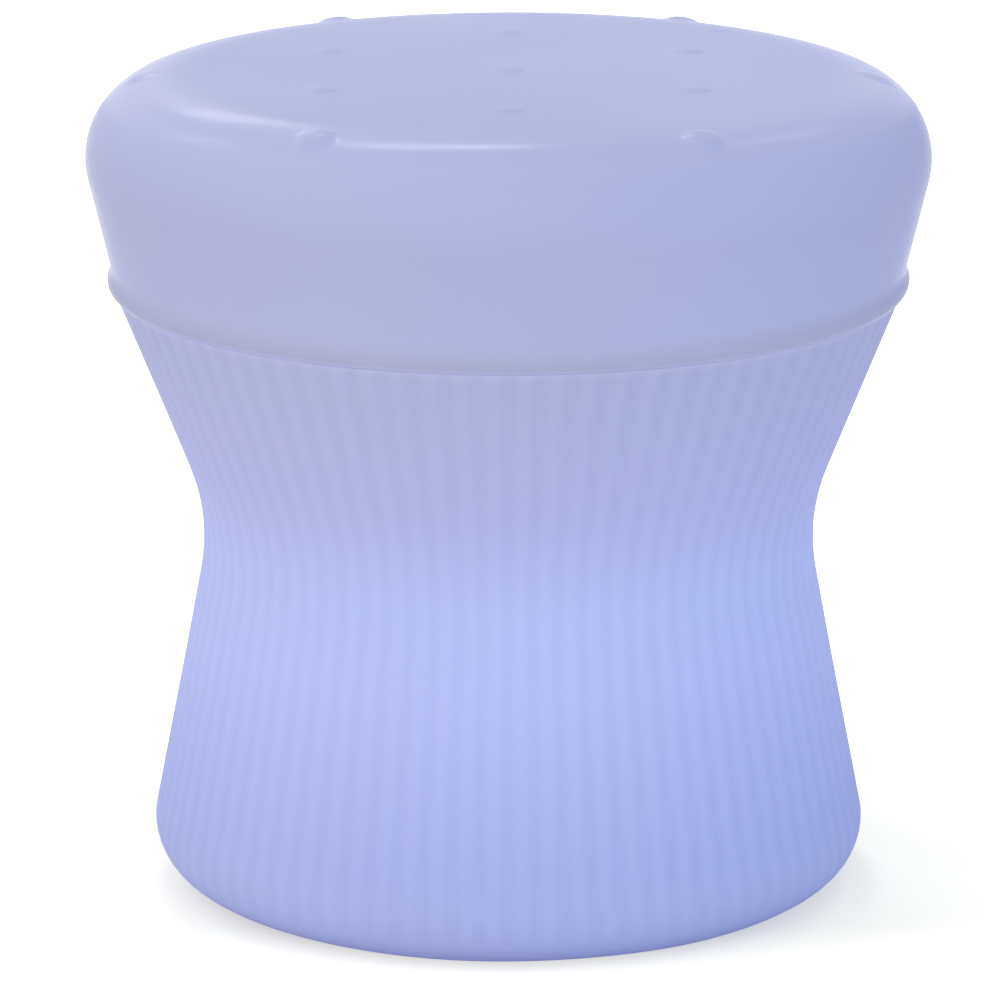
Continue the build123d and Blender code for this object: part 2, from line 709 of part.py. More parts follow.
# Seal between the bottom cover and the cup
with BuildPart() as cover_seal:
    with BuildSketch(Plane.XY.offset(cover_top_z)):
        Circle(TRAY_RADIUS)
        Circle(tray_bore, mode=Mode.SUBTRACT)
    extrude(amount=COVER_SEAL)
save(cover_seal.part, "cover_seal")

# Bottom cover, with the button's hole, the charging port and the hinge lugs
with BuildPart() as bottom_cover:
    with BuildSketch(Plane.XY.offset(cover_z)):
        Circle(TRAY_RADIUS)
        with Locations((BUTTON_X, 0)):
            Circle(BUTTON_RADIUS + BUTTON_CLEARANCE, mode=Mode.SUBTRACT)
        with Locations((SOCKET_X, 0)):
            Circle(PORT_HOLE, mode=Mode.SUBTRACT)
        with Locations((0, INDICATOR_Y)):
            Circle(INDICATOR_RADIUS + INDICATOR_CLEARANCE, mode=Mode.SUBTRACT)
        with Locations(*pillar_places):
            Circle(SMALL_SCREW[0] + SCREW_PASS, mode=Mode.SUBTRACT)
    extrude(amount=COVER_THICKNESS)
    with BuildSketch(Plane.XY.offset(cover_z)):
        with Locations(*pillar_places):
            Circle(SMALL_SCREW[1] + SCREW_PASS)
    extrude(amount=COVER_HEAD_DEPTH, mode=Mode.SUBTRACT)
    # Posts of the button's board
    with BuildSketch(Plane.XY.offset(cover_top_z)):
        with Locations(*button_posts):
            Circle(BUTTON_POST_RADIUS)
    extrude(amount=button_board_z - cover_top_z)
    with BuildSketch(Plane.XY.offset(button_board_z)):
        with Locations(*button_posts):
            Circle(TINY_SCREW[0] + PILOT_CLEARANCE)
    extrude(amount=BOARD_THICKNESS - BUTTON_SCREW_LENGTH - PILOT_CLEARANCE, mode=Mode.SUBTRACT)
    # Room for the hinge knuckle, and the two lugs that hold its pin
    with BuildSketch(Plane.XY.offset(cover_z)):
        with Locations((hinge_x, 0)):
            Rectangle(2 * (KNUCKLE_RADIUS + KNUCKLE_SPACE), 2 * (lug_y + LUG_WIDTH))
    extrude(amount=KNUCKLE_RADIUS + KNUCKLE_SPACE - FLAP_THICKNESS / 2, mode=Mode.SUBTRACT)
    for start in (-lug_y - LUG_WIDTH, lug_y):
        with BuildSketch(Plane.XZ.offset(-start)):
            with Locations((hinge_x, hinge_z)):
                Circle(KNUCKLE_RADIUS)
            with Locations((hinge_x, hinge_z + KNUCKLE_RADIUS)):
                Rectangle(2 * KNUCKLE_RADIUS, 2 * KNUCKLE_RADIUS)
            with Locations((hinge_x, hinge_z)):
                Circle(HINGE_PIN_RADIUS + HINGE_PIN_FIT, mode=Mode.SUBTRACT)
        extrude(amount=-LUG_WIDTH)
save(bottom_cover.part, "bottom_cover")

cover_screws = screws(
    pillar_places, cover_z + COVER_HEAD_DEPTH, SMALL_SCREW, COVER_SCREW_LENGTH
)
save(cover_screws, "cover_screws")

# Power button: a dished cap with a flange inside the cover and a stem for the switch
with BuildPart() as power_button:
    with BuildSketch(Plane.XY.offset(cover_z - BUTTON_PROUD)):
        with Locations((BUTTON_X, 0)):
            Circle(BUTTON_RADIUS)
    extrude(amount=BUTTON_PROUD + COVER_THICKNESS)
    with BuildSketch(Plane.XY.offset(cover_top_z)):
        with Locations((BUTTON_X, 0)):
            Circle(BUTTON_RADIUS + BUTTON_FLANGE)
    extrude(amount=BUTTON_FLANGE_THICKNESS)
    with BuildSketch(Plane.XY.offset(button_flange_top_z)):
        with Locations((BUTTON_X, 0)):
            Circle(BUTTON_STEM_RADIUS)
    extrude(amount=BUTTON_STEM)
    fillet(power_button.edges().filter_by(GeomType.CIRCLE).group_by(Axis.Z)[0], BUTTON_DISH)
    dish_radius = BUTTON_RADIUS - 2 * BUTTON_DISH
    dish_sphere = (dish_radius**2 + BUTTON_DISH**2) / (2 * BUTTON_DISH)
    with Locations((BUTTON_X, 0, cover_z - BUTTON_PROUD + BUTTON_DISH - dish_sphere)):
        Sphere(dish_sphere, mode=Mode.SUBTRACT)
save(power_button.part, "power_button")

with BuildPart() as button_switch:
    with BuildSketch(Plane.XY.offset(switch_z)):
        with Locations((BUTTON_X, 0)):
            Rectangle(SWITCH_SIZE, SWITCH_SIZE)
    extrude(amount=SWITCH_HEIGHT)
    with BuildSketch(Plane.XY.offset(plunger_z)):
        with Locations((BUTTON_X, 0)):
            Circle(PLUNGER_RADIUS)
    extrude(amount=PLUNGER_HEIGHT)
save(button_switch.part, "button_switch")

with BuildPart() as button_board:
    with BuildSketch(Plane.XY.offset(button_board_z)):
        with Locations((BUTTON_X, 0)):
            Rectangle(
                BUTTON_BOARD, 2 * (button_post_y + BUTTON_POST_RADIUS + BUTTON_BOARD_EDGE)
            )
        with Locations(*button_posts):
            Circle(TINY_SCREW[0] + SCREW_PASS, mode=Mode.SUBTRACT)
    extrude(amount=BOARD_THICKNESS)
save(button_board.part, "button_board")

button_board_screws = screws(
    button_posts, button_board_top_z, TINY_SCREW, BUTTON_SCREW_LENGTH, up=False
)
save(button_board_screws, "button_board_screws")

# Charging socket, open below, with its centre pin
with BuildPart() as charge_socket:
    with BuildSketch(Plane.XY.offset(cover_top_z)):
        with Locations((SOCKET_X, 0)):
            Rectangle(SOCKET_LENGTH, SOCKET_WIDTH)
    extrude(amount=SOCKET_HEIGHT)
    with BuildSketch(Plane.XY.offset(cover_top_z)):
        with Locations((SOCKET_X, 0)):
            Circle(SOCKET_BORE)
    extrude(amount=SOCKET_BORE_DEPTH, mode=Mode.SUBTRACT)
    with BuildSketch(Plane.XY.offset(cover_top_z + SOCKET_PIN_SET)):
        with Locations((SOCKET_X, 0)):
            Circle(SOCKET_PIN)
    extrude(amount=SOCKET_BORE_DEPTH - SOCKET_PIN_SET)
save(charge_socket.part, "charge_socket")

# Cover of the charging port: a round flap with a neck and a hinge knuckle
with BuildPart() as port_cover:
    with BuildSketch(Plane.XY.offset(cover_z)):
        with Locations((SOCKET_X, 0)):
            Circle(FLAP_RADIUS)
            Rectangle(HINGE_REACH, FLAP_NECK_WIDTH, align=(Align.MIN, Align.CENTER))
    extrude(amount=-FLAP_THICKNESS)
    with BuildSketch(Plane.XZ.offset(-FLAP_NECK_WIDTH / 2)):
        with Locations((hinge_x, hinge_z)):
            Circle(KNUCKLE_RADIUS)
    extrude(amount=FLAP_NECK_WIDTH)
    with BuildSketch(Plane.XZ.offset(-FLAP_NECK_WIDTH / 2)):
        with Locations((hinge_x, hinge_z)):
            Circle(HINGE_PIN_RADIUS + HINGE_RUNNING_FIT)
    extrude(amount=FLAP_NECK_WIDTH, mode=Mode.SUBTRACT)
save(port_cover.part, "port_cover")

with BuildPart() as port_plug:
    with BuildSketch(Plane.XY.offset(cover_z)):
        with Locations((SOCKET_X, 0)):
            Circle(PLUG_RADIUS)
    extrude(amount=PLUG_LENGTH)
    chamfer(port_plug.edges().filter_by(GeomType.CIRCLE).group_by(Axis.Z)[-1], PLUG_CHAMFER)
save(port_plug.part, "port_plug")

with BuildPart() as port_pin:
    with BuildSketch(Plane.XZ.offset(-lug_y - LUG_WIDTH)):
        with Locations((hinge_x, hinge_z)):
            Circle(HINGE_PIN_RADIUS)
    extrude(amount=2 * (lug_y + LUG_WIDTH))
save(port_pin.part, "port_pin")

# Light pipe of the charge light
with BuildPart() as indicator_lens:
    with BuildSketch(Plane.XY.offset(cover_z)):
        with Locations((0, INDICATOR_Y)):
            Circle(INDICATOR_RADIUS)
    extrude(amount=COVER_THICKNESS)
    with BuildSketch(Plane.XY.offset(cover_top_z)):
        with Locations((0, INDICATOR_Y)):
            Circle(INDICATOR_RADIUS + INDICATOR_FLANGE)
    extrude(amount=INDICATOR_FLANGE_THICKNESS)
save(indicator_lens.part, "indicator_lens")

# Wires inside the module
battery_lead = wire(
    [(-tab_x, 0, cell_z), (battery_wire_x, 0, cell_z), (battery_wire_x, 0, board_z)],
    [WIRE_BEND],
)
save(battery_lead, "battery_lead")

button_turn_z = button_board_top_z + BUTTON_WIRE_RISE
button_lead = wire(
    [
        (BUTTON_X, 0, button_board_top_z),
        (BUTTON_X, 0, button_turn_z),
        (button_wire_x, 0, button_turn_z),
        (button_wire_x, 0, board_z),
    ],
    [WIRE_BEND, WIRE_BEND],
)
save(button_lead, "button_lead")

socket_turn_z = socket_top_z + SOCKET_WIRE_RISE
socket_wire_x = tab_x + SOCKET_WIRE_OUT
socket_lead = wire(
    [
        (SOCKET_X, 0, socket_top_z),
        (SOCKET_X, 0, socket_turn_z),
        (socket_wire_x, 0, socket_turn_z),
        (socket_wire_x, 0, cell_z),
        (tab_x, 0, cell_z),
    ],
    [WIRE_BEND, WIRE_BEND, WIRE_BEND],
)
save(socket_lead, "socket_lead")
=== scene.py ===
from math import atan, cos, degrees, pi, radians, sin, sqrt, tan

import bpy
from mathutils import Matrix, Vector, noise


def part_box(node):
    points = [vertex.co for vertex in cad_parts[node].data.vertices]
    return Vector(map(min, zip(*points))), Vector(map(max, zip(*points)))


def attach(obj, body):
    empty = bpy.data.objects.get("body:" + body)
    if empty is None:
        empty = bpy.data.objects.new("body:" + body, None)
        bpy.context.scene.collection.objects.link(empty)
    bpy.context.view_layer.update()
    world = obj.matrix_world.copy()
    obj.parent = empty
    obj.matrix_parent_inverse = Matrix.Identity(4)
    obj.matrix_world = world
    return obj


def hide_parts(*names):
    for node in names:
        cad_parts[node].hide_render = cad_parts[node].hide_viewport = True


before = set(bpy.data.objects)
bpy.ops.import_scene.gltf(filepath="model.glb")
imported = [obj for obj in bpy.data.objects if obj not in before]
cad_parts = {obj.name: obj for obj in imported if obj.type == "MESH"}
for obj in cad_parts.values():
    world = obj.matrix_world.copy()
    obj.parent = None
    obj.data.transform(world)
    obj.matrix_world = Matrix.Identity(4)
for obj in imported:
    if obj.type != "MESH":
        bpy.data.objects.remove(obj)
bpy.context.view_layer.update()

MM = 0.001

# Camera, as the photograph was taken: from the front, looking down a little
CAMERA_DISTANCE = 2.800
CAMERA_PITCH = 14.74
CAMERA_TARGET_Z = 0.1847
CAMERA_SIDE = -0.0041
CAMERA_LENS = 209.7
CAMERA_SENSOR = 36.0
CAMERA_REACH = 50.0

# Seat lid, in metres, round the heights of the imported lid
lid_low, lid_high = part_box("seat_lid")
NUB_TOP = 2.2 * MM
NUB_RISE = 1.2 * MM
EDGE_NUB_RISE = 2.2 * MM
SIDE_NUB_RISE = 1.2 * MM
NUB_RADIUS = 9.0 * MM
EDGE_NUB_RADIUS = 10.5 * MM
NUB_OVERHANG = 13.2 * MM
NUBS_ROUND = 6
LID_RADIUS = 200.0 * MM
LID_EDGE_ARC = 40.0 * MM
LID_EDGE_BLEND = 40.0 * MM
LID_EDGE_BEND = 38.0 * MM
LID_EDGE_STEP = 1.25 * MM
LID_TAPER = 13.5
LID_WALL = 4.0 * MM
LIP_BEAD = 5.5 * MM
LIP_PROUD = 4.7 * MM
LIP_BLEND = 7.0 * MM
BEARING_INSETS = (10.0 * MM, 4.0 * MM)
LID_SEGMENTS = 456
SEAT_RINGS = 76
SKIRT_RINGS = 10
BLEND_RINGS = 6
BEAD_RINGS = 10
INNER_EDGE_RINGS = 22
BEARING_RINGS = 2
UNDERSIDE_RINGS = 12
seat_z = lid_high.z - NUB_TOP
mouth_z = lid_low.z
lid_flat = LID_RADIUS - LID_EDGE_ARC
lid_arc_z = seat_z - LID_EDGE_ARC

# Body, in metres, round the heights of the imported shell
body_low, body_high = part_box("body_shell")
SHOULDER_GAP = 0.05 * MM
SHOULDER_RADIUS = 186.7 * MM
WAIST_RADIUS = 142.7 * MM
WAIST_Z = 180.0 * MM
WAIST_ARC = 98.0 * MM
BASE_RADIUS = 177.2 * MM
BASE_ARC = 27.0 * MM
BODY_WALL = 5.0 * MM
COLLAR_RADIUS = 180.6 * MM
RIM_WIDTH = 20.0 * MM
RIM_THICKNESS = 5.0 * MM
RIM_ROUND = 1.2 * MM
CORNER_ARC = 3.0 * MM
RIB_COUNT = 80
RIB_DEPTH = 0.5 * MM
RIB_FADE = 14.0 * MM
RIB_SAMPLES = 8
RIB_SHARPNESS = 1.3
RECESS_RADIUS = 92.0 * MM
RECESS_Z = 26.0 * MM
TRAY_HOLE = 74.0 * MM
BASE_RINGS = 14
WALL_RINGS = 14
WAIST_RINGS = 16
SHOULDER_RINGS = 8
base_z = body_low.z
rim_z = body_high.z
shoulder_z = mouth_z - SHOULDER_GAP

# Screw bosses on the plinth inside the body
BOSS_CIRCLE = 82.5 * MM
BOSS_RADIUS = 5.5 * MM
BOSS_HEIGHT = 7.0 * MM
BOSS_COUNT = 6
BOSS_SEGMENTS = 32
BOSS_ROUND_STEPS = 4

# Meshes in general
ROUND_STEPS = 6
SHARP_ANGLE = 50
SAME_PLACE = 1e-6
LAST_STEP_EXTRA = 1e-9

# Slow unevenness of the blown walls
WAVE_LENGTH = 70.0 * MM
WAVE_HEIGHT = 0.25 * MM


# Outlines in the half plane of radius and height
def arc(centre, radius, start, end, steps):
    """Points of an arc; angles in degrees."""
    turns = [radians(start + (end - start) * step / steps) for step in range(steps + 1)]
    return [(centre[0] + radius * cos(turn), centre[1] + radius * sin(turn)) for turn in turns]


def run(start, end, steps):
    """Points of a straight stretch."""
    (r0, z0), (r1, z1) = start, end
    shares = [step / steps for step in range(steps + 1)]
    return [(r0 + (r1 - r0) * share, z0 + (z1 - z0) * share) for share in shares]


def joined(*stretches):
    """One outline from stretches that meet end to end."""
    outline = []
    for point in (point for stretch in stretches for point in stretch):
        if not outline or (Vector(point) - Vector(outline[-1])).length > SAME_PLACE:
            outline.append(point)
    return outline


def rounded(corners, radii, steps=ROUND_STEPS):
    """Straight runs with an arc at each inner corner."""
    outline = [corners[0]]
    for before, corner, after, radius in zip(corners, corners[1:], corners[2:], radii):
        corner = Vector(corner)
        back = (Vector(before) - corner).normalized()
        onward = (Vector(after) - corner).normalized()
        half = back.angle(onward) / 2
        reach = radius / tan(half)
        centre = corner + (back + onward).normalized() * (radius / sin(half))
        first = corner + back * reach - centre
        last = corner + onward * reach - centre
        for step in range(steps + 1):
            spoke = first.lerp(last, step / steps).normalized() * radius
            outline.append(tuple(centre + spoke))
    outline.append(corners[-1])
    return joined(outline)


def outline_normals(outline, closed):
    """Outward normals of an outline that runs with the material on its right."""
    normals = []
    count = len(outline)
    for index in range(count):
        before = outline[index - 1] if index or closed else outline[index]
        after = outline[(index + 1) % count] if index + 1 < count or closed else outline[index]
        along = (Vector(after) - Vector(before)).normalized()
        normals.append((-along.y, along.x))
    return normals


# Turned meshes
def wave(point):
    """Slow unevenness at a point of a blown wall."""
    return WAVE_HEIGHT * noise.noise(Vector(point) / WAVE_LENGTH)


def ring_places(count, radius, start):
    """Places evenly spaced round the stool's axis; the first one's angle in degrees."""
    angles = [radians(start + 360 * step / count) for step in range(count)]
    return [(radius * cos(angle), radius * sin(angle)) for angle in angles]


def new_piece(name, points, faces):
    """A smooth-shaded object whose hard edges stay hard."""
    mesh = bpy.data.meshes.new(name)
    mesh.from_pydata(points, [], faces)
    mesh.validate()
    mesh.shade_smooth()
    mesh.set_sharp_from_angle(angle=radians(SHARP_ANGLE))
    piece = bpy.data.objects.new(name, mesh)
    bpy.context.scene.collection.objects.link(piece)
    return piece


def lathe(name, outline, segments, swell, closed=False):
    """A turned mesh. swell(index, point) is how far a point stands off along its normal."""
    points = []
    rings = []
    normals = outline_normals(outline, closed)
    for index, ((radius, height), (out, up)) in enumerate(zip(outline, normals)):
        if radius < SAME_PLACE:
            rings.append([len(points)])
            points.append((0.0, 0.0, height + swell(index, (0.0, 0.0, height)) * up))
            continue
        ring = []
        for segment in range(segments):
            angle = 2 * pi * segment / segments - pi / 2
            place = (radius * cos(angle), radius * sin(angle), height)
            off = swell(index, place)
            reach = radius + off * out
            ring.append(len(points))
            points.append((reach * cos(angle), reach * sin(angle), height + off * up))
        rings.append(ring)
    faces = []
    for low, high in zip(rings, rings[1:] + rings[:1] if closed else rings[1:]):
        for segment in range(segments):
            after = (segment + 1) % segments
            if len(low) == 1:
                faces.append((low[0], high[segment], high[after]))
            elif len(high) == 1:
                faces.append((low[segment], high[0], low[after]))
            else:
                faces.append((low[segment], high[segment], high[after], low[after]))
    return new_piece(name, points, faces)


# Seat lid
def nub_places():
    """Plan centres, radii and rises of the nubs on the seat: a triangular grid."""
    circle = lid_flat + NUB_OVERHANG
    inner = [(0.0, 0.0)] + ring_places(NUBS_ROUND, circle / sqrt(3), 30)
    nubs = [(Vector(place), NUB_RADIUS, NUB_RISE) for place in inner]
    for place in ring_places(NUBS_ROUND, circle, 0):
        rise = EDGE_NUB_RISE if abs(place[1]) > MM else SIDE_NUB_RISE
        nubs.append((Vector(place), EDGE_NUB_RADIUS, rise))
    return nubs


def seat_edge():
    """The seat's edge, from the flat top to the skirt: it tightens slowly, then keeps its bend."""
    radius, height, turn, length = 0.0, seat_z, 0.0, 0.0
    last_turn = radians(90 + LID_TAPER)
    outline = [(radius, height)]
    while turn < last_turn:
        bend = min((length + LID_EDGE_STEP / 2) / LID_EDGE_BLEND, 1.0) / LID_EDGE_BEND
        step = min(LID_EDGE_STEP, (last_turn - turn) / bend + LAST_STEP_EXTRA)
        middle = turn + bend * step / 2
        radius += step * cos(middle)
        height -= step * sin(middle)
        turn += bend * step
        length += step
        outline.append((radius, height))
    shift = LID_RADIUS - max(radius for radius, height in outline)
    return [(radius + shift, height) for radius, height in outline]


def lid_outline():
    """Outer face from the axis to the lip, then the inner face back; and the outer count."""
    taper = radians(LID_TAPER)
    edge = seat_edge()
    skirt = edge[-1]
    mouth = skirt[0] - (skirt[1] - mouth_z) * tan(taper)
    bead = (mouth + LIP_PROUD - LIP_BEAD, mouth_z + LIP_BEAD)
    # A hollow arc leads from the skirt out to the bead; both are tangent to it
    side = Vector((cos(taper), -sin(taper)))
    foot = Vector((mouth, mouth_z))
    lift = Vector((sin(taper), cos(taper)))
    offset = LIP_BLEND - (Vector(bead) - foot).dot(side)
    along = sqrt((LIP_BLEND + LIP_BEAD) ** 2 - offset**2)
    height = (Vector(bead) - foot).dot(lift) + along
    blend = foot + lift * height + side * LIP_BLEND
    lean = Vector(bead) - blend
    blend_end = 180 + degrees(atan(lean.y / lean.x))
    outer = joined(
        run((0.0, seat_z), edge[0], SEAT_RINGS),
        edge,
        run(skirt, tuple(foot + lift * height), SKIRT_RINGS),
        arc(blend, LIP_BLEND, 180 - LID_TAPER, blend_end, BLEND_RINGS),
        arc(bead, LIP_BEAD, blend_end - 180, -90, BEAD_RINGS),
    )
    # Inside, a bearing ring comes down to the seal
    inset = LID_WALL / cos(taper)
    inner_arc = LID_EDGE_ARC - LID_WALL
    seal_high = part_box("seat_seal")[1]
    seal_z = seal_high.z
    near, far = (seal_high.x - distance for distance in BEARING_INSETS)
    under_z = seat_z - LID_WALL
    meet_z = lid_arc_z + sqrt(inner_arc**2 - (far - lid_flat) ** 2)
    meet_angle = degrees(atan((meet_z - lid_arc_z) / (far - lid_flat)))
    inner = joined(
        [(mouth - inset, mouth_z)],
        arc((lid_flat, lid_arc_z), inner_arc, -LID_TAPER, meet_angle, INNER_EDGE_RINGS),
        run((far, meet_z), (far, seal_z), BEARING_RINGS),
        run((far, seal_z), (near, seal_z), BEARING_RINGS),
        run((near, seal_z), (near, under_z), BEARING_RINGS),
        run((near, under_z), (0.0, under_z), UNDERSIDE_RINGS),
    )
    return outer + inner, len(outer)


def make_lid(material):
    """The lid's shell, with its nubs."""
    outline, outer_count = lid_outline()
    nubs = nub_places()

    def swell(index, place):
        if index >= outer_count:
            return 0.0
        off = wave(place)
        for centre, radius, rise in nubs:
            near = (Vector(place[:2]) - centre).length / radius
            if near < 1 and place[2] > lid_arc_z:
                off += rise * (1 - near**3) ** 2
        return off

    lid = lathe("seat_lid_shell", outline, LID_SEGMENTS, swell)
    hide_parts("seat_lid")
    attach(lid, "lid")
    lid.data.materials.append(material)


# Ribbed body
def body_wall():
    """The outer wall from the base up to the shoulder, its slopes and where its ribs run out."""
    lower = atan((BASE_RADIUS - WAIST_RADIUS) / (WAIST_Z - base_z))
    upper = atan((SHOULDER_RADIUS - WAIST_RADIUS) / (shoulder_z - WAIST_Z))
    base_centre_z = base_z + BASE_ARC
    base_centre = (
        WAIST_RADIUS + (WAIST_Z - base_centre_z) * tan(lower) - BASE_ARC / cos(lower),
        base_centre_z,
    )
    base = arc(base_centre, BASE_ARC, -90, degrees(lower), BASE_RINGS)
    reach = WAIST_ARC * tan((lower + upper) / 2)
    waist_low = (WAIST_RADIUS + reach * sin(lower), WAIST_Z - reach * cos(lower))
    waist_centre = (waist_low[0] + WAIST_ARC * cos(lower), waist_low[1] + WAIST_ARC * sin(lower))
    waist_turn = (180 + degrees(lower), 180 - degrees(upper))
    waist = arc(waist_centre, WAIST_ARC, *waist_turn, WAIST_RINGS)
    wall = joined(
        base,
        run(base[-1], waist_low, WALL_RINGS),
        waist,
        run(waist[-1], (SHOULDER_RADIUS, shoulder_z), SHOULDER_RINGS),
    )
    return wall, lower, upper, base[-1][1]


def body_outline():
    """Closed outline: plinth, hollow, rim, collar, then the ribbed wall down to the base."""
    wall, lower, upper, run_out_z = body_wall()
    floor_z = base_z + BODY_WALL
    plinth = (RECESS_RADIUS + BODY_WALL, RECESS_Z + BODY_WALL)
    collar_bore = COLLAR_RADIUS - BODY_WALL
    neck_z = WAIST_Z + (collar_bore - WAIST_RADIUS + BODY_WALL) / tan(upper)
    inner_base = WAIST_RADIUS - BODY_WALL + (WAIST_Z - floor_z) * tan(lower)
    rim = (COLLAR_RADIUS - RIM_WIDTH, rim_z - RIM_THICKNESS)
    # Each corner with the radius of its arc; the two ends lie on the wall
    corners = [
        (wall[-1], None),
        ((COLLAR_RADIUS, shoulder_z), RIM_ROUND),
        ((COLLAR_RADIUS, rim_z), RIM_ROUND),
        ((rim[0], rim_z), RIM_ROUND),
        (rim, RIM_ROUND),
        ((collar_bore, rim[1]), CORNER_ARC),
        ((collar_bore, neck_z), CORNER_ARC),
        ((WAIST_RADIUS - BODY_WALL, WAIST_Z), WAIST_ARC + BODY_WALL),
        ((inner_base, floor_z), BASE_ARC - BODY_WALL),
        ((plinth[0], floor_z), CORNER_ARC),
        (plinth, CORNER_ARC),
        ((TRAY_HOLE, plinth[1]), RIM_ROUND),
        ((TRAY_HOLE, RECESS_Z), RIM_ROUND),
        ((RECESS_RADIUS, RECESS_Z), RIM_ROUND),
        ((RECESS_RADIUS, base_z), RIM_ROUND),
        (wall[0], None),
    ]
    places, radii = zip(*corners)
    rest = rounded(places, radii[1:-1])
    return (wall + rest[1:-1])[::-1], len(wall), run_out_z


def make_body(wall_material, boss_material):
    """The ribbed body, and the screw bosses inside it."""
    outline, wall_count, run_out_z = body_outline()

    def swell(index, place):
        if index < len(outline) - wall_count:
            return 0.0
        x, y, z = place
        depth = RIB_DEPTH * min(max((z - run_out_z + RIB_FADE / 2) / RIB_FADE, 0.0), 1.0)
        turn = Vector((0, -1)).angle_signed(Vector((x, y)))
        groove = (0.5 + 0.5 * cos(RIB_COUNT * turn)) ** RIB_SHARPNESS
        return wave(place) - depth * groove

    body = lathe("ribbed_body", outline, RIB_COUNT * RIB_SAMPLES, swell, closed=True)
    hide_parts("body_shell")
    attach(body, "base")
    body.data.materials.append(wall_material)
    for number, (x, y) in enumerate(ring_places(BOSS_COUNT, BOSS_CIRCLE, 0), start=1):
        boss = boss_piece(f"screw_boss_{number}", x, y)
        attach(boss, "base")
        boss.data.materials.append(boss_material)


def boss_piece(name, x, y):
    """A rounded screw boss that stands on the plinth inside the body."""
    low = RECESS_Z + BODY_WALL - RIM_ROUND
    high = low + BOSS_HEIGHT + RIM_ROUND
    outline = rounded(
        [(0.0, high), (BOSS_RADIUS, high), (BOSS_RADIUS, low), (0.0, low)],
        [RIM_ROUND, RIM_ROUND],
        BOSS_ROUND_STEPS,
    )
    boss = lathe(name, outline, BOSS_SEGMENTS, lambda index, place: 0.0)
    boss.data.transform(Matrix.Translation((x, y, 0.0)))
    return boss


# Nodes
class Nodes:
    """A node tree, with short calls to add and link nodes."""

    def __init__(self, owner, space):
        owner.use_nodes = True
        self.tree = owner.node_tree
        self.place = self.add("ShaderNodeTexCoord").outputs[space]

    def add(self, kind, **values):
        node = self.tree.nodes.new(kind)
        for name, value in values.items():
            setattr(node, name, value)
        return node

    def feed(self, target, value):
        """Links an output to this input, or sets a plain value on it."""
        if isinstance(value, bpy.types.NodeSocket):
            self.tree.links.new(value, target)
        else:
            target.default_value = value

    def math(self, kind, *values):
        node = self.add("ShaderNodeMath", operation=kind)
        for target, value in zip(node.inputs, values):
            self.feed(target, value)
        return node.outputs["Value"]

    def vector_math(self, kind, *values):
        node = self.add("ShaderNodeVectorMath", operation=kind)
        for target, value in zip(node.inputs, values):
            self.feed(target, value)
        return node.outputs["Value"]

    def spread(self, factor, low, high, start=0.3, end=0.7):
        """Factor's range from start to end mapped to low and high."""
        node = self.add("ShaderNodeMapRange")
        self.feed(node.inputs["Value"], factor)
        self.feed(node.inputs["From Min"], start)
        self.feed(node.inputs["From Max"], end)
        self.feed(node.inputs["To Min"], low)
        self.feed(node.inputs["To Max"], high)
        return node.outputs["Result"]

    def scaled(self, scale):
        """The place, stretched by these factors."""
        node = self.add("ShaderNodeMapping")
        self.feed(node.inputs["Vector"], self.place)
        self.feed(node.inputs["Scale"], scale)
        return node.outputs["Vector"]

    def is_seen(self):
        """1 for rays that show the background: camera, glossy and transmission rays."""
        path = self.add("ShaderNodeLightPath").outputs
        shown = self.math("MAXIMUM", path["Is Camera Ray"], path["Is Glossy Ray"])
        return self.math("MAXIMUM", shown, path["Is Transmission Ray"])


